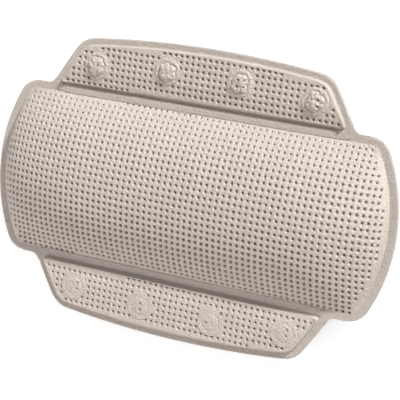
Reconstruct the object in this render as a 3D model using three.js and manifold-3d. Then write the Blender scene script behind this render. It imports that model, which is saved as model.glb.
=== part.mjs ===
// Bath pillow: a foam-filled vinyl bolster with a welded flap along each side, held by suction cups
// behind the flaps.
// Millimetres. X runs along the bolster, +Y towards the upper flap and +Z out of the front.
// The pillow lies on its cups, with the origin under its centre in the plane of their lips.
import * as THREE from 'three';
import { mergeVertices } from 'three/addons/utils/BufferGeometryUtils.js';
import Module from 'manifold-3d';

const wasm = await Module();
wasm.setup();

// Plan of the bolster: two long sides, two bowed ends and four rounded shoulders
const pillowLength = 334;
const shoulderDepth = 140;
const endArcRadius = 140;
const shoulderRadius = 17;
const shoulderFlat = 11.1;

// Plan of each flap, a trapezoid with a bowed outer edge
const flapDepth = 45.6;
const flapTaper = 23;
const flapTipRise = 6.7;
const flapCornerRadius = 18;

// Sheets, welded rim and hinge grooves
const rimWidth = 6.8;
const sideStrip = 0.6;
const grooveWidth = 6;
const weldThickness = 1.2;
const backThickness = 1;
const hingeThickness = 1.4;
const weldGap = 0.3;
const notchGap = 0.5;

// Crown of the bolster, above the weld
const crownHeight = 26.5;
const endFall = 54;
const endFallPower = 2.4;
const coverThickness = 4;
const coreGap = 0.4;
const coreEdge = 0.6;

// Raised panel of each flap, above the weld
const panelHeight = 5;
const panelWallLean = 0.5;
const panelEdgeRounding = 1.5;

// Suction cups, one soft moulding each, and the washers that hold their heads
const cupsPerFlap = 4;
const cupCornerInset = 13.4;
const cupEdgeInset = 21.5;
const cupHeight = 12;
const cupLipRadius = 18;
const cupLipWidth = 2.2;
const cupLipThickness = 1;
const cupHollowDepth = 7;
const cupBossRadius = 6.5;
const cupBossHeight = 3.4;
const cupNeckRadius = 3.2;
const cupHeadRadius = 6;
const cupHeadThickness = 1.2;
const washerRadius = 11.5;
const washerThickness = 1.2;
const runningGap = 0.3;

// Round mark that the weld leaves in the panel over each cup
const markRadius = 12;
const markButtonRadius = 6.6;
const markDepth = 1.2;
const markSlope = 0.8;

// Fineness of the curved faces
const arcSteps = 5;
const roundSteps = 20;
const domeSteps = 4;
const crownRows = 14;
const crownEndSteps = 6;
const crownMiddleSteps = 5;
const samePoint = 1e-4;
const cutOver = 0.5;

// Heights and lines that several pieces share
const weldZ = cupHeight + runningGap + backThickness;
const panelTop = weldZ + panelHeight;
const washerTop = weldZ + washerThickness;
const headBottom = washerTop + runningGap;
const headTop = headBottom + cupHeadThickness;
const eyeletRadius = cupNeckRadius + runningGap;
const shoulderY = shoulderDepth / 2;
const shoulderCornerY = shoulderY - shoulderRadius;
const endArcX = pillowLength / 2 - endArcRadius;
const shoulderCornerX = endArcX + Math.sqrt((endArcRadius - shoulderRadius) ** 2 - shoulderCornerY ** 2);
const notchX = shoulderCornerX - shoulderFlat;
const flapRootX = notchX - notchGap;
const flapTipX = flapRootX - flapTaper;
const bolsterEdgeY = shoulderY - rimWidth + sideStrip;
const flapRootY = bolsterEdgeY + grooveWidth;
const flapTipY = flapRootY + flapDepth;
const tipArcRadius = (flapTipX ** 2 + flapTipRise ** 2) / (2 * flapTipRise);
const tipArcY = flapTipY - tipArcRadius;

// Finishes
const taupeFoam = { color: '#cbbfb5', roughness: 0.62, metalness: 0 };
const taupeSheet = { color: '#c2b5aa', roughness: 0.5, metalness: 0 };
const whiteFoam = { color: '#e8e4da', roughness: 0.9, metalness: 0 };
const clearVinyl = { color: '#d5dad8', roughness: 0.18, metalness: 0 };

function named(name, geometry, finish) {
  const mesh = new THREE.Mesh(geometry, new THREE.MeshStandardMaterial(finish));
  mesh.name = name;
  return mesh;
}

// Geometry with shared corners merged and collapsed triangles dropped, as a solid to cut and join
function solid(geometry) {
  const bare = geometry.clone();
  bare.deleteAttribute('normal');
  bare.deleteAttribute('uv');
  const merged = mergeVertices(bare, samePoint);
  const corners = merged.index.array;
  const kept = [];
  for (let i = 0; i < corners.length; i += 3) {
    const [a, b, c] = corners.slice(i, i + 3);
    if (a !== b && b !== c && c !== a) kept.push(a, b, c);
  }
  const vertProperties = Float32Array.from(merged.attributes.position.array);
  return new wasm.Manifold(new wasm.Mesh({ numProp: 3, vertProperties, triVerts: Uint32Array.from(kept) }));
}

function geometryOf(shape) {
  const mesh = shape.getMesh();
  const geometry = new THREE.BufferGeometry();
  geometry.setAttribute('position', new THREE.BufferAttribute(Float32Array.from(mesh.vertProperties), 3));
  geometry.setIndex(new THREE.BufferAttribute(Uint32Array.from(mesh.triVerts), 1));
  geometry.computeVertexNormals();
  return geometry;
}

// Corner points of a closed path, without repeats
function outlineOf(path) {
  const points = path.getPoints(arcSteps);
  return points.filter((point, i) => point.distanceTo(points.at(i - 1)) > samePoint);
}

// Closed solid through outlines of equal point count, listed from the lowest to the highest
function stacked(levels) {
  const count = levels[0].outline.length;
  const positions = levels.flatMap(({ outline, z }) => outline.flatMap((point) => [point.x, point.y, z]));
  const index = [];
  for (let i = 0; i < count * (levels.length - 1); i += 1) {
    const next = i - (i % count) + ((i + 1) % count);
    index.push(i, next, next + count, i, next + count, i + count);
  }
  const topStart = count * (levels.length - 1);
  for (const [a, b, c] of THREE.ShapeUtils.triangulateShape(levels[0].outline, [])) index.push(c, b, a);
  for (const [a, b, c] of THREE.ShapeUtils.triangulateShape(levels.at(-1).outline, [])) {
    index.push(topStart + a, topStart + b, topStart + c);
  }
  const geometry = new THREE.BufferGeometry();
  geometry.setAttribute('position', new THREE.Float32BufferAttribute(positions, 3));
  geometry.setIndex(index);
  geometry.computeVertexNormals();
  return geometry;
}

function plate(outline, low, high) {
  return stacked([{ outline, z: low }, { outline, z: high }]);
}

// Solid of revolution about Z, from [radius, height] pairs that run anticlockwise round its section
function turned(profile) {
  const points = profile.map(([radius, height]) => new THREE.Vector2(radius, height));
  return new THREE.LatheGeometry(points, roundSteps).rotateX(Math.PI / 2);
}

function disc(radius, low, high) {
  return turned([[0, low], [radius, low], [radius, high], [0, high]]);
}

// Edge of the bolster's sheets: bowed ends, rounded shoulders and a step in for each hinge groove
function bolsterOutline() {
  const endAngle = Math.atan2(shoulderCornerY, shoulderCornerX - endArcX);
  const path = new THREE.Path();
  path.moveTo(notchX, -bolsterEdgeY);
  path.lineTo(notchX, -shoulderY);
  path.absarc(shoulderCornerX, -shoulderCornerY, shoulderRadius, -Math.PI / 2, -endAngle);
  path.absarc(endArcX, 0, endArcRadius, -endAngle, endAngle);
  path.absarc(shoulderCornerX, shoulderCornerY, shoulderRadius, endAngle, Math.PI / 2);
  path.lineTo(notchX, shoulderY);
  path.lineTo(notchX, bolsterEdgeY);
  path.lineTo(-notchX, bolsterEdgeY);
  path.lineTo(-notchX, shoulderY);
  path.absarc(-shoulderCornerX, shoulderCornerY, shoulderRadius, Math.PI / 2, Math.PI - endAngle);
  path.absarc(-endArcX, 0, endArcRadius, Math.PI - endAngle, Math.PI + endAngle);
  path.absarc(-shoulderCornerX, -shoulderCornerY, shoulderRadius, Math.PI + endAngle, 1.5 * Math.PI);
  path.lineTo(-notchX, -shoulderY);
  path.lineTo(-notchX, -bolsterEdgeY);
  path.closePath();
  return outlineOf(path);
}

// Edge of a flap, drawn in by inset at its sides and outer edge and by rootInset along the groove
function flapOutline(inset, rootInset) {
  const root = new THREE.Vector2(flapRootX, flapRootY);
  const tip = new THREE.Vector2(flapTipX, flapTipY - flapTipRise);
  const along = tip.clone().sub(root).normalize();
  const inward = new THREE.Vector2(-along.y, along.x);
  // The rounded corner touches the side and the bowed outer edge
  const start = root.clone().addScaledVector(inward, flapCornerRadius);
  start.y -= tipArcY;
  const reach = tipArcRadius - flapCornerRadius;
  const half = start.dot(along);
  const travel = -half + Math.sqrt(half ** 2 - start.lengthSq() + reach ** 2);
  const corner = start.clone().addScaledVector(along, travel);
  const sideAngle = Math.atan2(-inward.y, -inward.x);
  const tipAngle = Math.atan2(corner.y, corner.x);
  const side = root.clone().addScaledVector(inward, inset);
  const rootY = flapRootY + rootInset;
  const rootX = side.x + (along.x * (rootY - side.y)) / along.y;
  const cornerY = corner.y + tipArcY;
  const path = new THREE.Path();
  path.moveTo(-rootX, rootY);
  path.lineTo(rootX, rootY);
  path.absarc(corner.x, cornerY, flapCornerRadius - inset, sideAngle, tipAngle);
  path.absarc(0, tipArcY, tipArcRadius - inset, tipAngle, Math.PI - tipAngle);
  path.absarc(-corner.x, cornerY, flapCornerRadius - inset, Math.PI - tipAngle, Math.PI - sideAngle);
  path.closePath();
  return outlineOf(path);
}

// Crowned solid over the bolster's plan: a round section across, falling to the foot along both bowed ends
function crown(inset, top, foot, floor) {
  const halfDepth = shoulderY - inset;
  const rise = top - foot;
  const sectionRadius = (halfDepth ** 2 + rise ** 2) / (2 * rise);
  const sectionAngle = Math.asin(halfDepth / sectionRadius);
  const endRadius = endArcRadius - inset;
  // Stations along the bolster: side of the centre, share of the straight stretch, share of the end's fall
  const stations = [];
  for (let i = 0; i < crownEndSteps; i += 1) stations.push([-1, 1, 1 - i / crownEndSteps]);
  for (let i = 0; i <= crownMiddleSteps; i += 1) stations.push([1, (2 * i) / crownMiddleSteps - 1, 0]);
  for (let i = 1; i <= crownEndSteps; i += 1) stations.push([1, 1, i / crownEndSteps]);
  const columns = stations.length - 1;
  const positions = [];
  for (let row = 0; row <= crownRows; row += 1) {
    const angle = sectionAngle * ((2 * row) / crownRows - 1);
    const y = sectionRadius * Math.sin(angle);
    const lift = sectionRadius * (Math.cos(angle) - 1) + rise;
    const straight = endArcX + Math.sqrt(endRadius ** 2 - y ** 2) - endFall;
    for (const [sign, share, fall] of stations) {
      const x = sign * (share * straight + fall * endFall);
      positions.push(x, y, foot + lift * (1 - fall ** endFallPower));
    }
  }
  const at = (column, row) => row * (columns + 1) + column;
  const index = [];
  const face = (a, b, c, d) => index.push(a, b, c, a, c, d);
  for (let row = 0; row < crownRows; row += 1) {
    for (let column = 0; column < columns; column += 1) {
      face(at(column, row), at(column + 1, row), at(column + 1, row + 1), at(column, row + 1));
    }
  }
  // The foot, anticlockwise, with a copy of each of its points on the floor
  const rim = [];
  for (let column = 0; column < columns; column += 1) rim.push(at(column, 0));
  for (let row = 0; row < crownRows; row += 1) rim.push(at(columns, row));
  for (let column = columns; column > 0; column -= 1) rim.push(at(column, crownRows));
  for (let row = crownRows; row > 0; row -= 1) rim.push(at(0, row));
  const firstOnFloor = positions.length / 3;
  for (const corner of rim) positions.push(positions[3 * corner], positions[3 * corner + 1], floor);
  const below = (k) => firstOnFloor + (k % rim.length);
  rim.forEach((corner, k) => face(below(k), below(k + 1), rim[(k + 1) % rim.length], corner));
  // The underside: a strip between the long sides and a fan under each bowed end
  const farSide = 2 * columns + crownRows;
  for (let k = 0; k < columns; k += 1) {
    face(below(k), below(farSide - k), below(farSide - k - 1), below(k + 1));
  }
  for (let k = 1; k < crownRows; k += 1) {
    index.push(below(columns), below(columns + k + 1), below(columns + k));
    index.push(below(0), below(farSide + k), below(farSide + k - 1));
  }
  const geometry = new THREE.BufferGeometry();
  geometry.setAttribute('position', new THREE.Float32BufferAttribute(positions, 3));
  geometry.setIndex(index);
  geometry.computeVertexNormals();
  return geometry;
}

// The inside of the foam cover keeps the cover's thickness along the round section
function insideInset() {
  const foot = shoulderY - rimWidth;
  const sectionRadius = (foot ** 2 + crownHeight ** 2) / (2 * crownHeight);
  const inner = (sectionRadius - coverThickness) ** 2 - (sectionRadius - crownHeight) ** 2;
  return shoulderY - Math.sqrt(inner);
}

// Embossed foam sheet of the bolster: the crown with its hollow, and the flat welded rim round it
function bolsterCover() {
  const rim = solid(plate(bolsterOutline(), weldZ, weldZ + weldThickness));
  const outside = solid(crown(rimWidth, weldZ + crownHeight, weldZ + weldThickness / 2, weldZ));
  const insideTop = weldZ + crownHeight - coverThickness;
  const insideFoot = weldZ + coreEdge + coreGap;
  const inside = solid(crown(insideInset(), insideTop, insideFoot, weldZ - cutOver));
  return named('bolster_cover', geometryOf(rim.add(outside).subtract(inside)), taupeFoam);
}

// Soft foam log that fills the crown and lies on the back sheet
function bolsterCore() {
  const top = weldZ + crownHeight - coverThickness - coreGap;
  const log = crown(insideInset() + coreGap, top, weldZ + coreEdge, weldZ);
  return named('bolster_core', log, whiteFoam);
}

function bolsterBack() {
  return named('bolster_back', plate(bolsterOutline(), weldZ - backThickness, weldZ), taupeSheet);
}

// Groove between the bolster and a flap, where front and back are welded thin enough to bend
function hingeWeb(name) {
  const near = bolsterEdgeY + weldGap;
  const far = flapRootY - weldGap;
  const corners = [[-flapRootX, near], [flapRootX, near], [flapRootX, far], [-flapRootX, far]];
  const outline = corners.map(([x, y]) => new THREE.Vector2(x, y));
  return named(name, plate(outline, weldZ - hingeThickness / 2, weldZ + hingeThickness / 2), taupeSheet);
}

// Cup centres along a flap, evenly spaced and a fixed way in from its corners and its bowed edge
function cupCentres() {
  const reach = flapTipX - cupCornerInset;
  const centres = [];
  for (let i = 0; i < cupsPerFlap; i += 1) {
    const x = reach * ((2 * i) / (cupsPerFlap - 1) - 1);
    centres.push(new THREE.Vector2(x, tipArcY + Math.sqrt(tipArcRadius ** 2 - x ** 2) - cupEdgeInset));
  }
  return centres;
}

// Embossed front of a flap: welded rim, raised panel, room for the cups' heads and the weld mark over each
function flapCover(name) {
  const rim = solid(plate(flapOutline(0, 0), weldZ, weldZ + weldThickness));
  const topInset = panelWallLean + panelEdgeRounding;
  const panel = solid(stacked([
    { outline: flapOutline(rimWidth, panelWallLean / 2), z: weldZ + weldThickness / 2 },
    { outline: flapOutline(rimWidth + panelWallLean, panelWallLean), z: panelTop - panelEdgeRounding },
    { outline: flapOutline(rimWidth + topInset, topInset), z: panelTop },
  ]));
  let shape = rim.add(panel);
  for (const centre of cupCentres()) {
    const cuts = [
      disc(washerRadius + runningGap, weldZ - cutOver, washerTop + runningGap),
      disc(cupHeadRadius + runningGap, weldZ - cutOver, headTop + runningGap),
      turned([
        [markButtonRadius + markSlope, panelTop - markDepth],
        [markRadius - markSlope, panelTop - markDepth],
        [markRadius, panelTop + cutOver],
        [markButtonRadius, panelTop + cutOver],
        [markButtonRadius + markSlope, panelTop - markDepth],
      ]),
    ];
    for (const cut of cuts) shape = shape.subtract(solid(cut.translate(centre.x, centre.y, 0)));
  }
  return named(name, geometryOf(shape), taupeFoam);
}

// Smooth back sheet of a flap, with an eyelet for the neck of each cup
function flapBack(name) {
  let sheet = solid(plate(flapOutline(0, 0), weldZ - backThickness, weldZ));
  for (const centre of cupCentres()) {
    const eyelet = disc(eyeletRadius, weldZ - backThickness - cutOver, weldZ + cutOver);
    sheet = sheet.subtract(solid(eyelet.translate(centre.x, centre.y, 0)));
  }
  return named(name, geometryOf(sheet), taupeSheet);
}

// Vinyl ring welded inside the flap round an eyelet, which the cup's head hooks over
function cupWasher(name) {
  const ring = turned([
    [eyeletRadius, weldZ],
    [washerRadius, weldZ],
    [washerRadius, washerTop],
    [eyeletRadius, washerTop],
    [eyeletRadius, weldZ],
  ]);
  return named(name, ring, clearVinyl);
}

// Suction cup: hollow bell with a flat lip, boss under the back sheet, neck through the eyelet, flat head
function suctionCup(name) {
  const hollowRadius = cupLipRadius - cupLipWidth;
  const bellRadius = (hollowRadius ** 2 + cupHollowDepth ** 2) / (2 * cupHollowDepth);
  const bellAngle = Math.asin(hollowRadius / bellRadius);
  const profile = [];
  for (let i = 0; i <= domeSteps; i += 1) {
    const angle = (bellAngle * i) / domeSteps;
    profile.push([bellRadius * Math.sin(angle), cupHollowDepth - bellRadius * (1 - Math.cos(angle))]);
  }
  profile.push([cupLipRadius - cupLipThickness / 2, 0]);
  const bossBottom = new THREE.Vector2(cupBossRadius, cupHeight - cupBossHeight);
  const lip = new THREE.Vector2(cupLipRadius, cupLipThickness);
  const shoulder = new THREE.Vector2((lip.x + bossBottom.x) / 2, bossBottom.y);
  const bell = new THREE.QuadraticBezierCurve(lip, shoulder, bossBottom);
  profile.push(...bell.getPoints(domeSteps).map((point) => [point.x, point.y]));
  profile.push(
    [cupBossRadius, cupHeight],
    [cupNeckRadius, cupHeight],
    [cupNeckRadius, headBottom],
    [cupHeadRadius, headBottom],
    [cupHeadRadius, headTop],
    [0, headTop],
  );
  return named(name, turned(profile), clearVinyl);
}

// One flap with its hinge, sheets, washers and cups, built on the +Y side and numbered towards +X or -X
function flap(side, numberFrom) {
  const group = new THREE.Group();
  group.add(hingeWeb(`${side}_hinge_web`), flapCover(`${side}_flap_cover`), flapBack(`${side}_flap_back`));
  cupCentres().forEach((centre, i) => {
    const number = numberFrom(i);
    for (const piece of [cupWasher(`${side}_cup_washer_${number}`), suctionCup(`${side}_cup_${number}`)]) {
      piece.position.set(centre.x, centre.y, 0);
      group.add(piece);
    }
  });
  return group;
}

const pillow = new THREE.Group();
pillow.add(bolsterCover(), bolsterCore(), bolsterBack());
pillow.add(flap('upper', (i) => i + 1));
const lowerFlap = flap('lower', (i) => cupsPerFlap - i);
lowerFlap.rotation.z = Math.PI;
pillow.add(lowerFlap);

export default pillow;
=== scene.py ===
import bisect
import math

import bmesh
import bpy
from mathutils import Matrix, Vector, noise
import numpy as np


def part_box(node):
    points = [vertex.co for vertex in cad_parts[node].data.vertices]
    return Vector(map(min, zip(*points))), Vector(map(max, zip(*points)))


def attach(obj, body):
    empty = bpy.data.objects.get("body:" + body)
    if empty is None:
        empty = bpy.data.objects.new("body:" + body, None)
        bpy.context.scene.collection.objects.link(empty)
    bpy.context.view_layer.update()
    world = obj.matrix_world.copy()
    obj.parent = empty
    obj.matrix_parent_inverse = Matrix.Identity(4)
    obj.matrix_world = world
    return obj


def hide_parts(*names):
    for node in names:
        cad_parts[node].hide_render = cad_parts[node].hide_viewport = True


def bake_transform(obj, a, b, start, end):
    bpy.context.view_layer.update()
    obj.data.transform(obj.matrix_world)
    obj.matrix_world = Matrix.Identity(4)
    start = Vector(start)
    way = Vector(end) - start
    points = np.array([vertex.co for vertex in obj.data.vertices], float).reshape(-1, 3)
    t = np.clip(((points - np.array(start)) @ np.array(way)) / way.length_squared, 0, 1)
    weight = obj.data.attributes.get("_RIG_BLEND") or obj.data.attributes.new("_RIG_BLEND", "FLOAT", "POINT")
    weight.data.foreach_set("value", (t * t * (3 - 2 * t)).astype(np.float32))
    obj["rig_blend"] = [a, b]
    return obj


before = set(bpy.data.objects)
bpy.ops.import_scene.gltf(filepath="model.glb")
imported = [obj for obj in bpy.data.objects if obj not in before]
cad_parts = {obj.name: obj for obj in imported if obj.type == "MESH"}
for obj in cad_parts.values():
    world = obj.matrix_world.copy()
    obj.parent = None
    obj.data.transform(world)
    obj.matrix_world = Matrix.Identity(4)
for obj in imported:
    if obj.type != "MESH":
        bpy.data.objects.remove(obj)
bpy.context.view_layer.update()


# Bolster skin: the front of the big cushion, a sheet of soft foamed vinyl with rows of pressed pits.
# It is formed over a foam log, and its two ends run out flat into a smooth rim that is welded
# to the back sheet. All shaping is in millimetres, and a finished piece is brought to metres.
PIT_COLUMNS = 71
PIT_COLUMN_STEP = 4.85
PIT_ROWS = 29
PIT_ROW_STEP = 5.18
PIT_ROW_TILT = 0.0202
PIT_MIDDLE = (-0.4, 1.07)
PIT_MOUTH = 3.7
PIT_WAIST = 2.3
PIT_FLOOR = 1.1
PIT_LIP_DROP = 0.06
PIT_WAIST_DROP = 0.75
PIT_DEPTH = 1.7
PIT_ROOM = 1.7
PIT_CLEARANCE = 0.1
UPPER_PIT_SHARE = 0.64
UPPER_PIT_REACH = 44.0
SHEET_MARGIN = 0.25
SCRAP_WIDTH = 0.9
RIM_TOP = 14.5
RIM_SIDE_TOP = 14.15
RIM_SIDE_FOOT = 13.45
RIM_BOTTOM = 13.35
HOLLOW_FLOOR = RIM_BOTTOM + 0.3
CROWN_FOOT = 64.2
CROWN_RISE = 25.3
CROWN_RADIUS = (CROWN_FOOT**2 + CROWN_RISE**2) / (2 * CROWN_RISE)
CROWN_HALF_ARC = CROWN_RADIUS * math.asin(CROWN_FOOT / CROWN_RADIUS)
END_ARC_X = 27.0
END_ARC_RADIUS = 140.0
END_FOOT_RADIUS = 133.2
END_FALL = 80.0
END_FALL_POWER = 2.2
END_SMOOTH = 5.0
END_TURNS = 64
SHOULDER_X = 137.995
SHOULDER_Y = 53.0
SHOULDER_RADIUS = 17.0
SHOULDER_DEPTH = SHOULDER_Y + SHOULDER_RADIUS
SHOULDER_ANGLE = math.atan2(SHOULDER_Y, SHOULDER_X - END_ARC_X)
SPLIT_X = 124.24
SPLIT_FULL_X = 136.0
SPLIT_BAND = 1.0
END_RIM_X = 118.0
SKIN_THICKNESS = 3.4
SKIN_SLANT = 1.15
CROWN_SWELL = 0.35
CROWN_SWELL_SPAN = 45.0
CROWN_SWELL_SEED = 3.0
SWELL_SETTLE = 5.0
NORMAL_STEP = 0.4
SLIDE_STEP = 0.02
SLIDE_ROUNDS = 3
VINYL_COLOUR = (0.575, 0.495, 0.44, 1.0)
# The dark brown of the painted shade on the pits' floors.
PIT_PAINTED_SHADE_COLOUR = (0.12, 0.085, 0.065, 1.0)
SPECK_CONTRAST = 0.36
ROUGHNESS_SWING = 0.18

# Each pair is a share of the way from the crown's foot to the outer edge, and the rim's height there.
RIM_STEPS = ((0.14, RIM_TOP), (0.5, RIM_TOP), (0.9, RIM_TOP), (1.0, RIM_SIDE_TOP), (0.99, RIM_SIDE_FOOT))
# The rings of the hollow inside, as shares of the way from the middle out to the hollow's foot.
HOLLOW_SHARES = (1.0, 0.97, 0.9, 0.75, 0.55, 0.3)


def crown_section(y):
    """How high the crown stands over its rim at y, and where along the bolster its end begins to fall."""
    lift = math.sqrt(CROWN_RADIUS**2 - y * y) - CROWN_RADIUS + CROWN_RISE
    reach = END_ARC_X + math.sqrt(END_FOOT_RADIUS**2 - y * y)
    return max(lift, 0.0), reach - END_FALL


end_ways = {}


def end_way(lift):
    """The distances along the sheet over a crown's end of that height, one for each of its turns."""
    key = round(lift, 1)
    if key not in end_ways:
        ways = [0.0]
        last = Vector((0, key, 0))
        for k in range(1, END_TURNS + 1):
            turn = k / END_TURNS * math.pi / 2
            here = Vector((END_FALL * math.sin(turn) ** (2 / END_FALL_POWER), key * math.cos(turn), 0))
            ways.append(ways[-1] + (here - last).length)
            last = here
        end_ways[key] = ways
    return end_ways[key]


def crown_point(along, way):
    """A point of the crown, from its distances along the sheet and round the section from the crest."""
    y = CROWN_RADIUS * math.sin(way / CROWN_RADIUS)
    lift, start = crown_section(y)
    past = abs(along) - start
    if past <= 0:
        return Vector((along, y, RIM_TOP + lift))
    ways = end_way(lift)
    k = min(max(bisect.bisect_left(ways, past), 1), END_TURNS)
    share = min((past - ways[k - 1]) / (ways[k] - ways[k - 1]), 1.0)
    turn = (k - 1 + share) / END_TURNS * math.pi / 2
    x = start + END_FALL * math.sin(turn) ** (2 / END_FALL_POWER)
    return Vector((math.copysign(x, along), y, RIM_TOP + lift * math.cos(turn)))


def crown_normal(along, way):
    """The way straight out of the crown."""
    lengthwise = crown_point(along + NORMAL_STEP, way) - crown_point(along - NORMAL_STEP, way)
    across = crown_point(along, way + NORMAL_STEP) - crown_point(along, way - NORMAL_STEP)
    return lengthwise.cross(across).normalized()


def crown_foot(p):
    """How far a point of the flat sheet lies outside the crown's foot."""
    y = CROWN_RADIUS * math.sin(p.y / CROWN_RADIUS)
    lift, start = crown_section(y)
    return max(abs(p.y) - CROWN_HALF_ARC, abs(p.x) - start - end_way(lift)[-1])


def crown_pit_limit(p):
    """The pits stop short of the foot at the two ends, where the sheet runs smoothly into the rim."""
    y = CROWN_RADIUS * math.sin(p.y / CROWN_RADIUS)
    lift, start = crown_section(y)
    smooth = END_SMOOTH * (0.5 + 0.5 * lift / CROWN_RISE)
    return max(abs(p.y) - CROWN_HALF_ARC, abs(p.x) - start - end_way(lift)[-1] + smooth)


def crown_plan(p):
    """How far a point of the rim lies outside the crown's foot, seen from above."""
    return max(abs(p.y) - CROWN_FOOT, math.hypot(abs(p.x) - END_ARC_X, p.y) - END_FOOT_RADIUS)


def under_crown(x, y, depth):
    """A point that lies that far under the crown's surface, but not below the hollow's floor."""
    lift, start = crown_section(y)
    fall = min(max((abs(x) - start) / END_FALL, 0.0), 1.0)
    height = RIM_TOP + lift * math.sqrt(1 - fall**END_FALL_POWER) - depth * SKIN_SLANT
    return Vector((x, y, max(height, HOLLOW_FLOOR)))


def slide(edge, p, gap):
    """Moves a point straight in or out until it lies that far outside an edge."""
    p = p.copy()
    step_x = Vector((SLIDE_STEP, 0, 0))
    step_y = Vector((0, SLIDE_STEP, 0))
    for _ in range(SLIDE_ROUNDS):
        dx = edge(p + step_x) - edge(p - step_x)
        dy = edge(p + step_y) - edge(p - step_y)
        out = Vector((dx, dy, 0)).normalized()
        p += out * (gap - edge(p))
    return p


def pitted_sheet(columns, rows, step_x, step_y, middle, edge, pit_limit, pit_share):
    """A flat sheet trimmed to an edge, with a pit pressed into each cell that has room for one.

    pit_share gives the share of its full size that a pit keeps at a place.
    """
    bm = bmesh.new()
    bmesh.ops.create_grid(bm, x_segments=columns, y_segments=rows, size=1)
    bmesh.ops.scale(bm, vec=(columns * step_x / 2, rows * step_y / 2, 1), verts=bm.verts)
    bmesh.ops.translate(bm, vec=(middle[0], middle[1], 0), verts=bm.verts)
    for v in bm.verts:
        v.co.y -= PIT_ROW_TILT * v.co.x
    # The subdivision reads the crease, which keeps a corner sharp, and the finish reads the hollow.
    bm.verts.layers.float.new("crease_vert")
    # The hollow attribute carries painted shade: the finish darkens the pits' floors by it.
    hollow = bm.verts.layers.float.new("hollow")
    pitted = []
    waste = []
    for cell in bm.faces:
        centre = cell.calc_center_median()
        reach = [centre + (v.co - centre) * (PIT_ROOM / step_x) for v in cell.verts]
        if max(pit_limit(corner) for corner in reach) < -PIT_CLEARANCE:
            pitted.append(cell)
        elif edge(centre) > -SCRAP_WIDTH:
            waste.append(cell)
    bmesh.ops.delete(bm, geom=waste, context="FACES")
    last_width, last_drop = step_x, 0.0
    pressed = []
    # Each row is a width, a depth under the sheet and how much painted shade darkens the sheet there.
    pit_rings = (
        (PIT_MOUTH, PIT_LIP_DROP, 0.0),
        (PIT_WAIST, PIT_WAIST_DROP, 0.2),
        (PIT_FLOOR, PIT_DEPTH, 1.0),
    )
    for width, drop, shade in pit_rings:
        bmesh.ops.inset_individual(bm, faces=pitted, thickness=(last_width - width) / 2,
                                   depth=last_drop - drop, use_even_offset=True)
        last_width, last_drop = width, drop
        for cell in pitted:
            centre = cell.calc_center_median()
            share = pit_share(centre)
            for v in cell.verts:
                v[hollow] = shade
                pressed.append((v, centre, share))
    # A smaller pit is narrower, and shallower by less.
    for v, centre, share in pressed:
        v.co = (centre + (v.co - centre) * share).xy.to_3d() + Vector((0, 0, v.co.z * share**0.5))
    for v in bm.verts:
        if edge(v.co) > -SHEET_MARGIN:
            v.co = slide(edge, v.co, -SHEET_MARGIN)
    return bm


def open_ring(bm):
    """The sheet's open edge, as a list of its vertices in order."""
    left = dict.fromkeys(e for e in bm.edges if e.is_boundary)
    first = next(iter(left))
    del left[first]
    ring = list(first.verts)
    while left:
        step = next((e for e in ring[-1].link_edges if e in left), None)
        if step is None:
            break
        del left[step]
        ring.append(step.other_vert(ring[-1]))
    return ring[:-1]


def ring_edges(bm, ring):
    """The edges that join a ring of vertices."""
    return [bm.edges.get(pair) for pair in zip(ring, ring[1:] + ring[:1])]


def draw_out(bm, ring, places, finish=0):
    """Extrudes a ring of vertices and puts each new vertex in its place."""
    made = bmesh.ops.extrude_edge_only(bm, edges=ring_edges(bm, ring))["geom"]
    fresh = {g for g in made if isinstance(g, bmesh.types.BMVert)}
    twin = {}
    for v in fresh:
        for e in v.link_edges:
            if e.other_vert(v) not in fresh:
                twin[e.other_vert(v)] = v
    for g in made:
        if isinstance(g, bmesh.types.BMFace):
            g.material_index = finish
    grown = [twin[v] for v in ring]
    for v, place in zip(grown, places):
        v.co = place
    return grown


def close_over(bm, ring):
    """Closes a ring with flat triangles."""
    lid = bmesh.ops.edgeloop_fill(bm, edges=ring_edges(bm, ring))["faces"]
    bmesh.ops.triangulate(bm, faces=lid)


def nearest(ring, place):
    """The vertex of a ring that lies closest to a place."""
    return min(ring, key=lambda v: (v.co - place).length)


def as_piece(bm, name, finishes, levels=1, sharp=None):
    """Makes a shaped mesh an object in metres, rounded by subdivision or with its sharp edges kept."""
    bmesh.ops.recalc_face_normals(bm, faces=bm.faces)
    bmesh.ops.scale(bm, vec=(0.001, 0.001, 0.001), verts=bm.verts)
    mesh = bpy.data.meshes.new(name)
    bm.to_mesh(mesh)
    bm.free()
    mesh.shade_smooth()
    if sharp:
        mesh.set_sharp_from_angle(angle=math.radians(sharp))
    for finish in finishes:
        mesh.materials.append(finish)
    piece = bpy.data.objects.new(name, mesh)
    bpy.context.collection.objects.link(piece)
    if levels:
        rounding = piece.modifiers.new("rounding", "SUBSURF")
        rounding.levels = levels
        rounding.render_levels = levels
    return piece


def rim_edge(p):
    """The point of the bolster's outer edge that lies straight out from a point of the crown's foot."""
    x, y = abs(p.x), abs(p.y)
    if x <= SHOULDER_X:
        out = Vector((x, SHOULDER_DEPTH, 0))
    elif math.atan2(y - SHOULDER_Y, x - SHOULDER_X) > SHOULDER_ANGLE:
        corner = Vector((SHOULDER_X, SHOULDER_Y, 0))
        out = corner + (Vector((x, y, 0)) - corner).normalized() * SHOULDER_RADIUS
    else:
        middle = Vector((END_ARC_X, 0, 0))
        out = middle + (Vector((x, y, 0)) - middle).normalized() * END_ARC_RADIUS
    return Vector((math.copysign(out.x, p.x), math.copysign(out.y, p.y), 0))


def rim_share(p):
    """How much of the rim belongs to the bolster: all round the ends, none beside the flaps."""
    if abs(p.y) < CROWN_FOOT - SPLIT_BAND:
        return 1.0
    return min(max((abs(p.x) - SPLIT_X) / (SPLIT_FULL_X - SPLIT_X), 0.0), 1.0)


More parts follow.
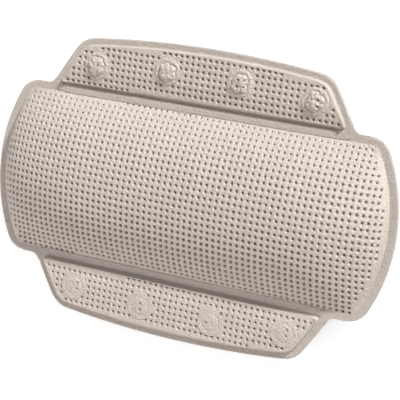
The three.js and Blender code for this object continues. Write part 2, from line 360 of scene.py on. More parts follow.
def vinyl_surface_group():
    """Leather-like grain and slight unevenness of colour, shared by all the vinyl finishes."""
    group = bpy.data.node_groups.new("vinyl_surface", "ShaderNodeTree")
    for label, way, kind in (
        ("Colour", "INPUT", "NodeSocketColor"),
        ("Grain Size", "INPUT", "NodeSocketFloat"),
        ("Mottle", "INPUT", "NodeSocketFloat"),
        ("Roughness", "INPUT", "NodeSocketFloat"),
        ("Colour", "OUTPUT", "NodeSocketColor"),
        ("Roughness", "OUTPUT", "NodeSocketFloat"),
        ("Height", "OUTPUT", "NodeSocketFloat"),
    ):
        group.interface.new_socket(label, in_out=way, socket_type=kind)
    node, link = group.nodes.new, group.links.new
    given = node("NodeGroupInput")
    result = node("NodeGroupOutput")
    where = node("ShaderNodeTexCoord")
    patches = node("ShaderNodeTexNoise")
    patches.inputs["Scale"].default_value = 38.0
    patches.inputs["Detail"].default_value = 4.0
    link(where.outputs["Object"], patches.inputs["Vector"])
    grain = node("ShaderNodeTexNoise")
    grain.inputs["Detail"].default_value = 3.0
    grain.inputs["Roughness"].default_value = 0.6
    link(where.outputs["Object"], grain.inputs["Vector"])
    link(given.outputs["Grain Size"], grain.inputs["Scale"])
    swing = node("ShaderNodeMath")
    swing.operation = "SUBTRACT"
    swing.inputs[1].default_value = 0.5
    link(patches.outputs["Fac"], swing.inputs[0])
    shade = node("ShaderNodeMath")
    shade.operation = "MULTIPLY_ADD"
    shade.inputs[2].default_value = 1.0
    link(swing.outputs[0], shade.inputs[0])
    link(given.outputs["Mottle"], shade.inputs[1])
    speck = node("ShaderNodeMath")
    speck.operation = "MULTIPLY_ADD"
    speck.inputs[1].default_value = SPECK_CONTRAST
    speck.inputs[2].default_value = -SPECK_CONTRAST / 2
    link(grain.outputs["Fac"], speck.inputs[0])
    specked = node("ShaderNodeMath")
    link(shade.outputs[0], specked.inputs[0])
    link(speck.outputs[0], specked.inputs[1])
    tint = node("ShaderNodeVectorMath")
    tint.operation = "SCALE"
    link(given.outputs["Colour"], tint.inputs[0])
    link(specked.outputs[0], tint.inputs["Scale"])
    link(tint.outputs[0], result.inputs["Colour"])
    dull = node("ShaderNodeMath")
    dull.operation = "MULTIPLY_ADD"
    dull.inputs[1].default_value = ROUGHNESS_SWING
    link(swing.outputs[0], dull.inputs[0])
    link(given.outputs["Roughness"], dull.inputs[2])
    link(dull.outputs[0], result.inputs["Roughness"])
    link(grain.outputs["Fac"], result.inputs["Height"])
    return group


vinyl_surface = vinyl_surface_group()


def vinyl_finish(name, colour, roughness, grain_size, grain_depth, mottle, bump_strength=1.0,
                 pit_painted_shade=0.0):
    """A vinyl finish with grain. A pit shade, if given, paints shade into the pits' floors."""
    finish = bpy.data.materials.new(name)
    finish.use_nodes = True
    node, link = finish.node_tree.nodes.new, finish.node_tree.links.new
    shader = finish.node_tree.nodes["Principled BSDF"]
    surface = node("ShaderNodeGroup")
    surface.node_tree = vinyl_surface
    surface.inputs["Colour"].default_value = colour
    surface.inputs["Grain Size"].default_value = grain_size
    surface.inputs["Mottle"].default_value = mottle
    surface.inputs["Roughness"].default_value = roughness
    bump = node("ShaderNodeBump")
    bump.inputs["Strength"].default_value = bump_strength
    bump.inputs["Distance"].default_value = grain_depth
    link(surface.outputs["Height"], bump.inputs["Height"])
    link(bump.outputs["Normal"], shader.inputs["Normal"])
    link(surface.outputs["Roughness"], shader.inputs["Roughness"])
    shader.inputs["Specular IOR Level"].default_value = 0.5
    # Painted shade: the hollow attribute darkens the pits' floors towards a dark brown.
    if pit_painted_shade:
        pits = node("ShaderNodeAttribute")
        pits.attribute_name = "hollow"
        painted_shade_strength = node("ShaderNodeMath")
        painted_shade_strength.operation = "MULTIPLY"
        painted_shade_strength.inputs[1].default_value = pit_painted_shade
        link(pits.outputs["Fac"], painted_shade_strength.inputs[0])
        darker = node("ShaderNodeMix")
        darker.data_type = "RGBA"
        link(painted_shade_strength.outputs[0], darker.inputs["Factor"])
        link(surface.outputs["Colour"], darker.inputs["A"])
        darker.inputs["B"].default_value = PIT_PAINTED_SHADE_COLOUR
        link(darker.outputs["Result"], shader.inputs["Base Color"])
    else:
        link(surface.outputs["Colour"], shader.inputs["Base Color"])
    return finish


# The embossed vinyl paints shade into the floors of its pits.
embossed_vinyl = vinyl_finish("embossed_vinyl", VINYL_COLOUR, roughness=0.38, grain_size=600.0,
                              grain_depth=0.0014, mottle=0.14, pit_painted_shade=0.85)
welded_vinyl = vinyl_finish("welded_vinyl", (0.505, 0.435, 0.388, 1.0), roughness=0.40, grain_size=600.0,
                            grain_depth=0.0009, mottle=0.22)


def crown_pit_share(p):
    """The share of its size that a pit keeps: the sheet is drawn out over the upper shoulder."""
    near = min(max(1 - (CROWN_HALF_ARC - p.y) / UPPER_PIT_REACH, 0.0), 1.0)
    return 1 - (1 - UPPER_PIT_SHARE) * near


skin = pitted_sheet(PIT_COLUMNS, PIT_ROWS, PIT_COLUMN_STEP, PIT_ROW_STEP, PIT_MIDDLE, crown_foot,
                    crown_pit_limit, crown_pit_share)
ring = open_ring(skin)
ring = draw_out(skin, ring, [slide(crown_foot, v.co, 0.0) for v in ring])
foot_corner_x = END_ARC_X + math.sqrt(END_FOOT_RADIUS**2 - CROWN_FOOT**2)
for side_x in (-1, 1):
    for side_y in (-1, 1):
        corner = Vector((side_x * foot_corner_x, side_y * CROWN_HALF_ARC, 0))
        nearest(ring, corner).co = corner
        split = Vector((side_x * SPLIT_X, side_y * CROWN_HALF_ARC, 0))
        nearest(ring, split).co = split
for v in skin.verts:
    x, way, height = v.co
    spot = Vector((x / CROWN_SWELL_SPAN, way / CROWN_SWELL_SPAN, CROWN_SWELL_SEED))
    swell = CROWN_SWELL * noise.noise(spot)
    base = crown_point(x, way)
    settle = min(max((base.z - RIM_TOP) / SWELL_SETTLE, 0.0), 1.0)
    v.co = base + crown_normal(x, way) * (height + swell * settle)
for v in ring:
    v.co.z = RIM_TOP
ends = [e for e in ring_edges(skin, ring) if min(abs(v.co.x) for v in e.verts) > END_RIM_X]
bmesh.ops.subdivide_edges(skin, edges=ends, cuts=1)
ring = open_ring(skin)
foot = [v.co.copy() for v in ring]
for reach, level in RIM_STEPS:
    places = []
    for p in foot:
        place = p.lerp(rim_edge(p), reach * rim_share(p))
        place.z = level if rim_share(p) > 0 else RIM_TOP
        places.append(place)
    ring = draw_out(skin, ring, places, finish=1)
bmesh.ops.remove_doubles(skin, verts=skin.verts, dist=0.001)
ring = open_ring(skin)
bolster_edge = [v.co.copy() for v in ring]
ring = draw_out(skin, ring, [Vector((p.x, p.y, RIM_BOTTOM)) for p in bolster_edge], finish=1)
hollow_foot = [slide(crown_plan, p, -SKIN_THICKNESS) for p in bolster_edge]
ring = draw_out(skin, ring, [Vector((p.x, p.y, RIM_BOTTOM)) for p in hollow_foot], finish=1)
for share in HOLLOW_SHARES:
    places = [under_crown(p.x * share, p.y * share, SKIN_THICKNESS) for p in hollow_foot]
    ring = draw_out(skin, ring, places, finish=1)
close_over(skin, ring)
bolster_skin = as_piece(skin, "bolster_skin", (embossed_vinyl, welded_vinyl))
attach(bolster_skin, "bolster")
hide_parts("bolster_cover")


# Foam core: a log of soft open-cell foam, cut to the crown's shape, that fills the bolster's hollow.
# It is laid in loose before the back is welded on, so it keeps a small gap to the skin all round.
CORE_GAP = 0.6
CORE_BOTTOM = 13.7
CORE_COLUMNS = 44
CORE_ROWS = 16


def foam_finish():
    """Cream open-cell foam with its small pores."""
    finish = bpy.data.materials.new("core_foam")
    finish.use_nodes = True
    node, link = finish.node_tree.nodes.new, finish.node_tree.links.new
    shader = finish.node_tree.nodes["Principled BSDF"]
    where = node("ShaderNodeTexCoord")
    pores = node("ShaderNodeTexVoronoi")
    pores.inputs["Scale"].default_value = 900.0
    link(where.outputs["Object"], pores.inputs["Vector"])
    shades = node("ShaderNodeValToRGB")
    shades.color_ramp.elements[0].color = (0.42, 0.36, 0.24, 1)
    shades.color_ramp.elements[1].color = (0.80, 0.74, 0.58, 1)
    shades.color_ramp.elements[1].position = 0.45
    link(pores.outputs["Distance"], shades.inputs["Fac"])
    link(shades.outputs["Color"], shader.inputs["Base Color"])
    bump = node("ShaderNodeBump")
    bump.inputs["Distance"].default_value = 0.0004
    link(pores.outputs["Distance"], bump.inputs["Height"])
    link(bump.outputs["Normal"], shader.inputs["Normal"])
    shader.inputs["Roughness"].default_value = 0.95
    return finish


core = bmesh.new()
bmesh.ops.create_grid(core, x_segments=CORE_COLUMNS, y_segments=CORE_ROWS, size=1)
inset = SKIN_THICKNESS + CORE_GAP
for v in core.verts:
    y = v.co.y * (CROWN_FOOT - inset)
    x = v.co.x * (crown_section(y)[1] + END_FALL - inset)
    v.co = under_crown(x, y, inset)
ring = open_ring(core)
ring = draw_out(core, ring, [Vector((v.co.x, v.co.y, CORE_BOTTOM)) for v in ring])
close_over(core, ring)
foam_core = as_piece(core, "foam_core", (foam_finish(),), levels=0)
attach(foam_core, "bolster")
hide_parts("bolster_core")


# Flap skins: the two long tabs beside the bolster, of the same foamed vinyl. Each has a raised pitted panel
# inside a smooth welded rim, a deep weld crease along its root where it bends, and four round marks
# where the sheet has shrunk over the suction cups' heads behind it.
FLAP_ROOT_X = 126.395
FLAP_ROOT_Y = 69.8
FLAP_SIDE_OUT = Vector((0.8607, 0.5091, 0))
FLAP_TIP_RADIUS = 801.16
FLAP_TIP_MIDDLE_Y = -685.76
FLAP_CORNER_RADIUS = 18.0
FLAP_RIM = 6.5
HINGE_START = 63.8
HINGE_END = 69.8
HINGE_HEIGHT = 13.3
PANEL_TOP = 18.3
PANEL_ROOT = 72.6
PANEL_ROOT_DROP = 1.9
PANEL_ROOT_SLOPE = 14.0
PANEL_ROOT_BOW = 1.3
PANEL_SWELL = 0.2
PANEL_SWELL_SPAN = 30.0
PANEL_SWELL_SEED = 7.0
PANEL_COLUMNS = 50
PANEL_COLUMN_STEP = 4.78
PANEL_ROWS = 9
PANEL_ROW_STEP = 4.87
ROOT_END = 63.4
ROOT_CORNER_CREASE = 0.9
CREASE_FADE = 5.0
ON_LINE = 0.01
CUPS_PER_FLAP = 4
MARK_RADIUS = 10.9
MARK_LAP = 1.2
MARK_TURNS = 96
MARK_STEPS = 20
MARK_SHIFT = 3.0
MARK_SEED_STEP = 1.7
MARK_SINK = 0.7
MARK_LIP = 0.05
MARK_BASE = 0.1
MARK_DOME_RADIUS = 7.0
MARK_LOW_DOME = 0.6
MARK_LOBED_RISE = 1.1
MARK_LOBES = 7
MARK_SCALLOPS = 13
MARK_CRUMPLE_SPAN = 2.6
MARK_WANDER = 1.4
MARK_MOAT_DEPTH = 0.7
MARK_MOAT_GAP = 0.3
MARK_MOAT_WIDTH = 0.5
MARK_PLATE_HEIGHT = 0.7
MARK_PLATE_SLOPE = 0.5
MARK_EDGE = 10.4
MARK_PIT_STEP = 4.8
MARK_PIT_RADIUS = 1.3
MARK_PIT_REACH = 4.6
MARK_PIT_DEPTH = 1.2
MARK_PIT_LEAST = 0.2
FAINT_RINGS = ((8.3, 0.3), (10.3, 0.4))
FAINT_RING_WIDTH = 0.45
FLAPS = (("upper", 1), ("lower", -1))


def flap_edge(p):
    """How far a point of a flap lies outside its two sides, its bowed tip and their round corners."""
    x = abs(p.x)
    beside = (x - FLAP_ROOT_X) * FLAP_SIDE_OUT.x + (p.y - FLAP_ROOT_Y) * FLAP_SIDE_OUT.y
    beyond = math.hypot(x, p.y - FLAP_TIP_MIDDLE_Y) - FLAP_TIP_RADIUS
    from_corner = Vector((x, p.y, 0)) - flap_corner
    side_turn = math.atan2(FLAP_SIDE_OUT.y, FLAP_SIDE_OUT.x)
    tip_turn = math.atan2(flap_corner.y - FLAP_TIP_MIDDLE_Y, flap_corner.x)
    if side_turn < math.atan2(from_corner.y, from_corner.x) < tip_turn:
        return from_corner.length - FLAP_CORNER_RADIUS
    return max(beside, beyond)


def flap_corner_middle():
    """The middle of the round corner between a flap's side and its tip."""
    along = Vector((-FLAP_SIDE_OUT.y, FLAP_SIDE_OUT.x, 0))
    start = Vector((FLAP_ROOT_X, FLAP_ROOT_Y, 0)) - FLAP_SIDE_OUT * FLAP_CORNER_RADIUS
    from_tip = start - Vector((0, FLAP_TIP_MIDDLE_Y, 0))
    inner = FLAP_TIP_RADIUS - FLAP_CORNER_RADIUS
    half = from_tip.dot(along)
    return start + along * (math.sqrt(half * half - from_tip.length_squared + inner * inner) - half)


flap_corner = flap_corner_middle()
panel_corner_x = FLAP_ROOT_X - (FLAP_RIM + (PANEL_ROOT - FLAP_ROOT_Y) * FLAP_SIDE_OUT.y) / FLAP_SIDE_OUT.x
split_top = Vector((SPLIT_X, FLAP_ROOT_Y + (FLAP_ROOT_X - SPLIT_X) * FLAP_SIDE_OUT.x / FLAP_SIDE_OUT.y, 0))
split_root = Vector((SPLIT_X, ROOT_END, 0))

# The outer edge of each flap's rim, kept for the back sheet that is welded on behind it.
flap_edges = {}

# Each pair is a distance out from the panel's top edge and a height, from the bead down and into the hollow.
RIM_EDGE = (FLAP_RIM, RIM_SIDE_TOP)
RIM_PROFILE = ((0.55, 18.05), (0.95, 17.3), (1.1, 15.4), (1.3, 14.6), (1.9, RIM_TOP), (3.0, RIM_TOP),
               (4.6, RIM_TOP), (5.9, RIM_TOP), RIM_EDGE, (6.45, RIM_SIDE_FOOT), (6.1, RIM_BOTTOM),
               (-2.0, RIM_BOTTOM), (-2.6, 16.3))
# At the root a third number is the share of the hinge strip's fall towards the crease.
ROOT_PROFILE = ((0.1, 15.7, 0.0), (0.25, 14.0, 0.0), (0.6, 12.95, 0.0), (1.6, 12.95, 0.0), (2.1, 13.9, 0.8),
                (2.8, 14.7, 1.0), (5.4, 14.95, 0.6), (7.4, 15.1, 0.25), (9.2, 15.25, 0.0), (9.2, 13.6, 0.0),
                (9.1, 12.65, 0.0), (-0.6, 12.65, 0.0), (-2.6, 14.4, 0.0))


def panel_edge(p):
    """How far a point lies outside the top of the raised panel."""
    return max(flap_edge(p) + FLAP_RIM, PANEL_ROOT - p.y)


def panel_sink(y):
    """How far the panel lies lower towards its root."""
    return PANEL_ROOT_DROP * max(0.0, 1 - (y - PANEL_ROOT) / PANEL_ROOT_SLOPE) ** PANEL_ROOT_BOW


def cup_middle(side, k):
    """The place of a cup's axis, in millimetres."""
    low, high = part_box(f"{side}_cup_{k}")
    return Vector(((low.x + high.x) * 500, (low.y + high.y) * 500, 0))


def mark_pits(x, y, seed):
    """How far a point lies in one of the few pits left on a mark's dome, from 0 outside to 1 on the floor."""
    half = MARK_PIT_STEP / 2
    across = (x - half * math.sin(7 * seed) + half) % MARK_PIT_STEP - half
    along = (y - half * math.cos(5 * seed) + half) % MARK_PIT_STEP - half
    pit_x, pit_y = x - across, y - along
    # Its place decides how much is left of a pit, so that they all differ and some are gone.
    left = 0.6 + 0.9 * math.sin(3.1 * pit_x + 5.3 * pit_y + 4 * seed)
    if math.hypot(pit_x, pit_y) > MARK_PIT_REACH or left < MARK_PIT_LEAST:
        return 0.0
    return min(left, 1.0) * max(0.0, 1 - (math.hypot(across, along) / MARK_PIT_RADIUS) ** 2)


def fold(offset, width):
    """A round fold in the sheet: 1 on its middle line, falling to 0 beside it."""
    return math.exp(-((offset / width) ** 2))


def mark_height(x, y, lobed, seed):
    """How high a round mark stands: a lobed dome in a scalloped circle, or a low dome among faint rings."""
    radius = math.hypot(x, y)
    turn = math.atan2(y, x)
    uneven = noise.noise(Vector((x / MARK_CRUMPLE_SPAN, y / MARK_CRUMPLE_SPAN, seed)))
    around = noise.noise(Vector((math.cos(turn) * MARK_WANDER, math.sin(turn) * MARK_WANDER, seed + 9)))
    # The noise round the mark keeps its lobes, its scallops and its edges from being regular.
    lobe = abs(math.sin(MARK_LOBES / 2 * turn + 1.6 * around + seed)) ** 0.6
    scallop = abs(math.sin(MARK_SCALLOPS / 2 * turn + 2.0 * around + seed))
    reach = MARK_DOME_RADIUS * (1 + lobed * (0.22 * lobe - 0.16 + 0.25 * around))
    rise = MARK_LOW_DOME + MARK_LOBED_RISE * lobed
    dome = rise * max(0.0, 1 - (radius / reach) ** 3) ** 0.6 * (1 + 0.4 * lobed * uneven)
    moat = (MARK_MOAT_DEPTH + 0.6 * uneven) * fold(radius - reach - MARK_MOAT_GAP, MARK_MOAT_WIDTH)
    edge = MARK_EDGE * (0.95 + 0.05 * scallop + 0.06 * around)
    plate = (MARK_PLATE_HEIGHT + 0.4 * uneven) * min(max((edge - radius) / MARK_PLATE_SLOPE, 0.0), 1.0)
    rings = sum(height * fold(radius - middle, FAINT_RING_WIDTH) for middle, height in FAINT_RINGS)
    folds = (1 - lobed) * rings + lobed * (plate - moat)
    return MARK_BASE + dome + folds - MARK_PIT_DEPTH * mark_pits(x, y, seed)


def raise_mark(bm, middle, lobed, seed):
    """One round mark, as a low disc whose edge is sunk in the panel."""
    hollow = bm.verts.layers.float["hollow"]
    made = bmesh.ops.create_circle(bm, cap_ends=False, radius=MARK_RADIUS, segments=MARK_TURNS)["verts"]
    bmesh.ops.translate(bm, vec=(middle.x, middle.y, PANEL_TOP - MARK_SINK), verts=made)
    for v in made:
        v.co.z -= panel_sink(v.co.y)
    close_over(bm, made)
    turns = [math.atan2(v.co.y - middle.y, v.co.x - middle.x) for v in made]
    ring = made
    for k in range(MARK_STEPS):
        radius = MARK_RADIUS * (1 - k / MARK_STEPS) ** 0.9
        places = []
        for turn in turns:
            x, y = radius * math.cos(turn), radius * math.sin(turn)
            height = MARK_LIP if k == 0 else mark_height(x, y, lobed, seed)
            level = PANEL_TOP - panel_sink(middle.y + y)
            places.append(Vector((middle.x + x, middle.y + y, level + height)))
        ring = draw_out(bm, ring, places)
        for v in ring:
            # The marks' few pits get the same painted shade on their floors.
            v[hollow] = mark_pits(v.co.x - middle.x, v.co.y - middle.y, seed)
    close_over(bm, ring)


def flap_skin(side, turned, lobed, first_row, strip_fall, pit_share):
    """One flap's front, shaped as the upper one and turned half round for the lower one."""
    shift = Vector((MARK_SHIFT, 0, 0))
    marks = [(cup_middle(side, k) + shift) * turned for k in range(1, CUPS_PER_FLAP + 1)]

    def panel_pit_limit(p):
        return max([panel_edge(p)] + [MARK_RADIUS - MARK_LAP - (p - mark).length for mark in marks])

    middle = (0.0, first_row + (PANEL_ROWS - 1) * PANEL_ROW_STEP / 2)
    bm = pitted_sheet(PANEL_COLUMNS, PANEL_ROWS, PANEL_COLUMN_STEP, PANEL_ROW_STEP, middle, panel_edge,
                      panel_pit_limit, lambda p: pit_share)
    ring = open_ring(bm)
    ring = draw_out(bm, ring, [slide(panel_edge, v.co, 0.0) for v in ring])
    corners = []
    for side_x in (-1, 1):
        corner = Vector((side_x * panel_corner_x, PANEL_ROOT, 0))
        corners.append(nearest(ring, corner))
        corners[-1].co = corner
    for v in bm.verts:
        spot = Vector((v.co.x / PANEL_SWELL_SPAN, v.co.y / PANEL_SWELL_SPAN, PANEL_SWELL_SEED * turned))
        v.co.z += PANEL_TOP - panel_sink(v.co.y) + PANEL_SWELL * noise.noise(spot)
    start = [v.co.copy() for v in ring]
    corner_at = [ring.index(v) for v in corners]
    # The places next to the root's two corners, up the panel's sides.
    beside = set()
    for at in corner_at:
        for near in (at - 1, (at + 1) % len(ring)):
            if start[near].y > PANEL_ROOT + ON_LINE:
                beside.add(near % len(ring))
    keep = bm.verts.layers.float["crease_vert"]
    for rim, root in zip(RIM_PROFILE, ROOT_PROFILE):
        places = []
        for i, p in enumerate(start):
            flat = Vector((p.x, p.y, 0))
            if i in corner_at:
                target = Vector((math.copysign(split_root.x, p.x), split_root.y, 0))
                place = flat + (target - flat) * (root[0] / (PANEL_ROOT - ROOT_END))
                place.z = rim[1]
            elif i in beside:
                target = Vector((math.copysign(split_top.x, p.x), split_top.y, 0))
                place = flat + (target - flat) * (rim[0] / FLAP_RIM)
                place.z = rim[1]
            elif p.y < PANEL_ROOT + ON_LINE:
                fade = min((panel_corner_x - abs(p.x)) / CREASE_FADE, 1.0)
                place = flat - Vector((0, root[0], 0))
                place.z = rim[1] + (root[1] - strip_fall * root[2] - rim[1]) * fade
            else:
                place = slide(flap_edge, flat, rim[0] - FLAP_RIM)
                place.z = rim[1]
            places.append(place)
        ring = draw_out(bm, ring, places, finish=1)
        for at in corner_at:
            ring[at][keep] = ROOT_CORNER_CREASE
        if rim == RIM_EDGE:
            flap_edges[side] = [v.co.copy() for v in ring]
    close_over(bm, ring)
    for k, mark in enumerate(marks):
        raise_mark(bm, mark, lobed, MARK_SEED_STEP * k + lobed)
    if turned < 0:
        bmesh.ops.scale(bm, vec=(-1, -1, 1), verts=bm.verts)
    piece = as_piece(bm, f"{side}_flap_skin", (embossed_vinyl, welded_vinyl))
    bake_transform(piece, "bolster", f"{side}_flap",
             start=(0, HINGE_START * turned / 1000, HINGE_HEIGHT / 1000),
             end=(0, HINGE_END * turned / 1000, HINGE_HEIGHT / 1000))
    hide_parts(f"{side}_flap_cover", f"{side}_hinge_web")


flap_skin("upper", 1, lobed=1.0, first_row=72.4, strip_fall=0.0, pit_share=1.0)
flap_skin("lower", -1, lobed=0.1, first_row=74.5, strip_fall=0.7, pit_share=0.88)


# Rim corners: the four places where the flaps' rims run into the bolster's shoulders in a hollow curve.
# Front and back are welded into one thickness there, and the corner twists as the flap is bent.
CORNER_CURVE = 7.0
CORNER_LAP = 2.2
CORNER_BACK_OFF = 0.04
CORNER_TURNS = 8
CORNER_SLICES = 8
CORNER_BOTTOM = 12.34
CORNER_TOP = 14.46
SHARP_ANGLE = 40


def rim_corner(side, turned, side_x):
    """One corner, shaped as the upper right one, with a lap under the pieces beside it."""
    curve = Vector((SPLIT_X + CORNER_CURVE * FLAP_SIDE_OUT.x, SHOULDER_DEPTH + CORNER_CURVE, 0))
    outline = [Vector((SPLIT_X - CORNER_LAP, CROWN_FOOT - CORNER_LAP, 0)),
               Vector((SPLIT_X, CROWN_FOOT - CORNER_LAP, 0)),
               Vector((SPLIT_FULL_X + CORNER_LAP, SHOULDER_DEPTH - CORNER_LAP, 0)),
               Vector((SPLIT_FULL_X + CORNER_LAP, SHOULDER_DEPTH - CORNER_BACK_OFF, 0))]
    sweep = math.pi / 2 - math.atan2(FLAP_SIDE_OUT.y, FLAP_SIDE_OUT.x)
    for k in range(CORNER_TURNS + 1):
        turn = -math.pi / 2 - sweep * k / CORNER_TURNS
        outline.append(curve + Vector((math.cos(turn), math.sin(turn), 0)) * CORNER_CURVE)
    upward = Vector((-FLAP_SIDE_OUT.y, FLAP_SIDE_OUT.x, 0))
    outline.append(outline[-1] + upward * CORNER_LAP - FLAP_SIDE_OUT * CORNER_BACK_OFF)
    outline.append(outline[-1] - FLAP_SIDE_OUT * CORNER_LAP)
    bm = bmesh.new()
    bm.faces.new([bm.verts.new((p.x, p.y, CORNER_BOTTOM)) for p in outline])
    raised = bmesh.ops.extrude_face_region(bm, geom=bm.faces[:])["geom"]
    raised = [g for g in raised if isinstance(g, bmesh.types.BMVert)]
    bmesh.ops.translate(bm, vec=(0, 0, CORNER_TOP - CORNER_BOTTOM), verts=raised)
    # A corner bends along the slanting end of the bolster's rim, from the crown's foot out to the shoulder.
    start = Vector((SPLIT_X, HINGE_START, 0))
    crossing = Vector((CROWN_FOOT - SHOULDER_DEPTH, SPLIT_FULL_X - SPLIT_X, 0)).normalized()
    span = crossing * ((HINGE_END - HINGE_START) * crossing.y)
    for k in range(1, CORNER_SLICES):
        whole = bm.verts[:] + bm.edges[:] + bm.faces[:]
        bmesh.ops.bisect_plane(bm, geom=whole, dist=0.0001, plane_co=start + span * k / CORNER_SLICES,
                               plane_no=crossing)
    bmesh.ops.triangulate(bm, faces=bm.faces[:])
    bmesh.ops.scale(bm, vec=(side_x * turned, turned, 1), verts=bm.verts)
    hand = "left" if side_x * turned < 0 else "right"
    piece = as_piece(bm, f"{side}_{hand}_rim_corner", (welded_vinyl,), levels=0, sharp=SHARP_ANGLE)
    end = start + span
    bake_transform(piece, "bolster", f"{side}_flap",
             start=(start.x * side_x * turned / 1000, start.y * turned / 1000, HINGE_HEIGHT / 1000),
             end=(end.x * side_x * turned / 1000, end.y * turned / 1000, HINGE_HEIGHT / 1000))


for side, turned in FLAPS:
    for side_x in (-1, 1):
        rim_corner(side, turned, side_x)


# Washers: round rings of tough vinyl inside the flaps, one round each eyelet, that keep the cups' heads
# from pulling through the back. Their shape is right as it comes, so they only get their finish.
washer_vinyl = vinyl_finish("washer_vinyl", (0.62, 0.60, 0.55, 1.0), roughness=0.35, grain_size=1100.0,
                            grain_depth=0.00006, mottle=0.08)
for side, _ in FLAPS:
    for k in range(1, CUPS_PER_FLAP + 1):
        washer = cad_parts[f"{side}_cup_washer_{k}"]
        washer.data.materials.clear()
        washer.data.materials.append(washer_vinyl)


# Back sheets: plain grained vinyl behind the bolster and each flap, cut to the same outline as the front
# and welded to it all round. The flaps' sheets are pressed thin along the hinge and have four eyelets each.
BACK_TOP = 13.3
BACK_BOTTOM = 12.3
EYELET_RADIUS = 3.5
EYELET_TURNS = 28
INNER_PRESS = 1.6
# Each pair is the place of a line along the hinge and how far the sheet's outer side is pressed in there.
# Its inner side is pressed in INNER_PRESS times as far.
HINGE_PRESS = ((64.6, 0.0), (65.2, 0.35), (66.8, 0.35), (68.4, 0.35), (70.6, 0.35), (71.2, 0.0))
back_vinyl = vinyl_finish("back_vinyl", (0.50, 0.45, 0.41, 1.0), roughness=0.5, grain_size=700.0,
                          grain_depth=0.00025, mottle=0.10)


def back_plate(outline, holes):
    """A flat plate with round holes."""
    bm = bmesh.new()
    rim = [bm.verts.new((p.x, p.y, BACK_TOP)) for p in outline]
    edges = [bm.edges.new(pair) for pair in zip(rim, rim[1:] + rim[:1])]
    for hole in holes:
        made = bmesh.ops.create_circle(bm, cap_ends=False, radius=EYELET_RADIUS, segments=EYELET_TURNS)
        bmesh.ops.translate(bm, vec=(hole.x, hole.y, BACK_TOP), verts=made["verts"])
        edges += ring_edges(bm, made["verts"])
    bmesh.ops.triangle_fill(bm, use_beauty=True, edges=edges)
    under = bmesh.ops.extrude_face_region(bm, geom=bm.faces[:])["geom"]
    under = [g for g in under if isinstance(g, bmesh.types.BMVert)]
    bmesh.ops.translate(bm, vec=(0, 0, BACK_BOTTOM - BACK_TOP), verts=under)
    return bm


bolster_back = as_piece(back_plate(bolster_edge, []), "bolster_back_sheet", (back_vinyl,), levels=0,
                        sharp=SHARP_ANGLE)
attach(bolster_back, "bolster")
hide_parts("bolster_back")
for side, turned in FLAPS:
    holes = [cup_middle(side, k) * turned for k in range(1, CUPS_PER_FLAP + 1)]
    sheet = back_plate(flap_edges[side], holes)
    for y, _ in HINGE_PRESS:
        whole = sheet.verts[:] + sheet.edges[:] + sheet.faces[:]
        bmesh.ops.bisect_plane(sheet, geom=whole, dist=0.0001, plane_co=(0, y, 0), plane_no=(0, 1, 0))
    for v in sheet.verts:
        press = next((depth for y, depth in HINGE_PRESS if abs(v.co.y - y) < ON_LINE), 0.0)
        v.co.z += -INNER_PRESS * press if v.co.z > (BACK_TOP + BACK_BOTTOM) / 2 else press
    bmesh.ops.scale(sheet, vec=(turned, turned, 1), verts=sheet.verts)
    piece = as_piece(sheet, f"{side}_flap_back_sheet", (back_vinyl,), levels=0, sharp=SHARP_ANGLE)
    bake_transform(piece, "bolster", f"{side}_flap",
             start=(0, HINGE_START * turned / 1000, HINGE_HEIGHT / 1000),
             end=(0, HINGE_END * turned / 1000, HINGE_HEIGHT / 1000))
    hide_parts(f"{side}_flap_back")


# Suction cups: eight clear soft-vinyl cups, each one moulding of a bell, a boss and a mushroom head.
# The head is pushed through the flap's eyelet and its washer, so the cup turns but stays in.
CUP_TURNS = 48
# Each pair is a radius and a height over the lip's plane, from the head's middle round to the bell's inside.
CUP_PROFILE = ((0.0, 16.0), (4.6, 16.0), (5.6, 15.8), (6.0, 15.4), (5.7, 14.95), (3.9, 14.8), (3.2, 14.4),
               (3.2, 12.4), (3.5, 12.05), (6.0, 12.0), (6.4, 11.7), (6.5, 11.2), (6.5, 9.6), (6.8, 8.9),
               (7.8, 8.4), (10.2, 7.4), (12.8, 5.7), (15.0, 3.7), (16.9, 1.8), (17.8, 1.0), (18.0, 0.7),
               (17.9, 0.2), (17.4, 0.0), (16.0, 0.0), (15.5, 0.3), (13.9, 2.0), (11.3, 4.1), (8.2, 5.8),
               (4.6, 6.8), (0.0, 7.0))
clear_cup_vinyl = vinyl_finish("clear_cup_vinyl", (0.90, 0.92, 0.92, 1.0), roughness=0.16, grain_size=260.0,
                               grain_depth=0.0001, mottle=0.05, bump_strength=0.3)
clear_shader = clear_cup_vinyl.node_tree.nodes["Principled BSDF"]
clear_shader.inputs["Transmission Weight"].default_value = 0.8
clear_shader.inputs["IOR"].default_value = 1.5
for side, _ in FLAPS:
    for k in range(1, CUPS_PER_FLAP + 1):
        middle = cup_middle(side, k)
        cup = bmesh.new()
        line = [cup.verts.new((radius, 0, height)) for radius, height in CUP_PROFILE]
        edges = [cup.edges.new(pair) for pair in zip(line, line[1:])]
        bmesh.ops.spin(cup, geom=line + edges, cent=(0, 0, 0), axis=(0, 0, 1), dvec=(0, 0, 0),
                       angle=math.tau, steps=CUP_TURNS, use_merge=True)
        bmesh.ops.remove_doubles(cup, verts=cup.verts, dist=0.001)
        bmesh.ops.translate(cup, vec=(middle.x, middle.y, 0), verts=cup.verts)
        piece = as_piece(cup, f"{side}_suction_cup_{k}", (clear_cup_vinyl,))
        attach(piece, f"{side}_cup_{k}")
        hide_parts(f"{side}_cup_{k}")


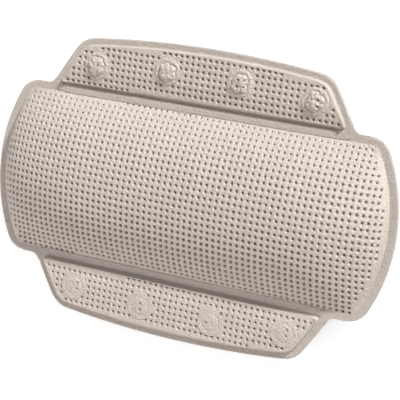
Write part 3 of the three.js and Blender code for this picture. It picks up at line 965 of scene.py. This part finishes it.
# Camera and light: the photo's own view from above the front, a white floor and room, a low narrow lamp
# on the upper right and a wide weak one on the lower left.
VIEW_RIGHT = Vector((0.91295, 0.11735, -0.39083))
VIEW_UP = Vector((-0.17988, 0.97542, -0.12730))
VIEW_BACK = Vector((0.36629, 0.18652, 0.91162))
VIEW_DISTANCE = 1.0651
VIEW_CENTRE_Z = 0.0133
ROOM_STRENGTH = 0.4
FLOOR_HALF_WIDTH = 4
FLOOR_LIFT = 0.67
camera = bpy.data.objects.new("camera", bpy.data.cameras.new("camera"))
bpy.context.collection.objects.link(camera)
camera.data.sensor_fit = "HORIZONTAL"
camera.data.sensor_width = 36.0
camera.data.lens = 123.96
camera.data.shift_x = 0.0308
camera.data.shift_y = -0.0093
camera.data.clip_start = 0.01
camera.matrix_world = Matrix((
    (VIEW_RIGHT.x, VIEW_UP.x, VIEW_BACK.x, VIEW_BACK.x * VIEW_DISTANCE),
    (VIEW_RIGHT.y, VIEW_UP.y, VIEW_BACK.y, VIEW_BACK.y * VIEW_DISTANCE),
    (VIEW_RIGHT.z, VIEW_UP.z, VIEW_BACK.z, VIEW_BACK.z * VIEW_DISTANCE + VIEW_CENTRE_Z),
    (0, 0, 0, 1),
))
bpy.context.scene.camera = camera
bpy.context.scene.view_settings.view_transform = "Standard"

for name, colour, energy, width, direction in (
    ("key_lamp", (0.95, 1.0, 1.0), 4.9, 6, Vector((0.56, 0.76, 0.33))),
    ("fill_lamp", (1.0, 0.955, 0.935), 2.1, 50, Vector((-0.57, -0.78, 0.25))),
):
    lamp = bpy.data.objects.new(name, bpy.data.lights.new(name, "SUN"))
    lamp.data.color = colour
    lamp.data.energy = energy
    lamp.data.angle = math.radians(width)
    lamp.rotation_euler = direction.to_track_quat("Z", "Y").to_euler()
    bpy.context.collection.objects.link(lamp)


def seen_ray(tree):
    """An output that is 1 for rays that show the backdrop to the camera, in a gloss or through the cups."""
    rays = tree.nodes.new("ShaderNodeLightPath")
    shown = rays.outputs["Is Camera Ray"]
    for kind in ("Is Glossy Ray", "Is Transmission Ray"):
        either = tree.nodes.new("ShaderNodeMath")
        either.operation = "MAXIMUM"
        tree.links.new(shown, either.inputs[0])
        tree.links.new(rays.outputs[kind], either.inputs[1])
        shown = either.outputs[0]
    return shown


room = bpy.data.worlds.new("room")
room.use_nodes = True
bpy.context.scene.world = room
node, link = room.node_tree.nodes.new, room.node_tree.links.new
soft = room.node_tree.nodes["Background"]
soft.inputs["Color"].default_value = (1.0, 0.985, 0.975, 1.0)
soft.inputs["Strength"].default_value = ROOM_STRENGTH
white = node("ShaderNodeBackground")
white.inputs["Color"].default_value = (1, 1, 1, 1)
white.inputs["Strength"].default_value = 1.0
both = node("ShaderNodeMixShader")
link(seen_ray(room.node_tree), both.inputs[0])
link(soft.outputs[0], both.inputs[1])
link(white.outputs[0], both.inputs[2])
link(both.outputs[0], room.node_tree.nodes["World Output"].inputs["Surface"])

floor_mesh = bpy.data.meshes.new("floor")
floor_bm = bmesh.new()
bmesh.ops.create_grid(floor_bm, x_segments=1, y_segments=1, size=FLOOR_HALF_WIDTH)
floor_bm.to_mesh(floor_mesh)
floor_bm.free()
floor = bpy.data.objects.new("floor", floor_mesh)
bpy.context.collection.objects.link(floor)
floor_paint = bpy.data.materials.new("floor_paint")
floor_paint.use_nodes = True
node, link = floor_paint.node_tree.nodes.new, floor_paint.node_tree.links.new
paint = floor_paint.node_tree.nodes["Principled BSDF"]
paint.inputs["Base Color"].default_value = (0.6, 0.6, 0.6, 1)
paint.inputs["Roughness"].default_value = 0.9
paint.inputs["Emission Color"].default_value = (1, 1, 1, 1)
lift = node("ShaderNodeMath")
lift.operation = "MULTIPLY"
lift.inputs[1].default_value = FLOOR_LIFT
link(seen_ray(floor_paint.node_tree), lift.inputs[0])
link(lift.outputs[0], paint.inputs["Emission Strength"])
floor_mesh.materials.append(floor_paint)
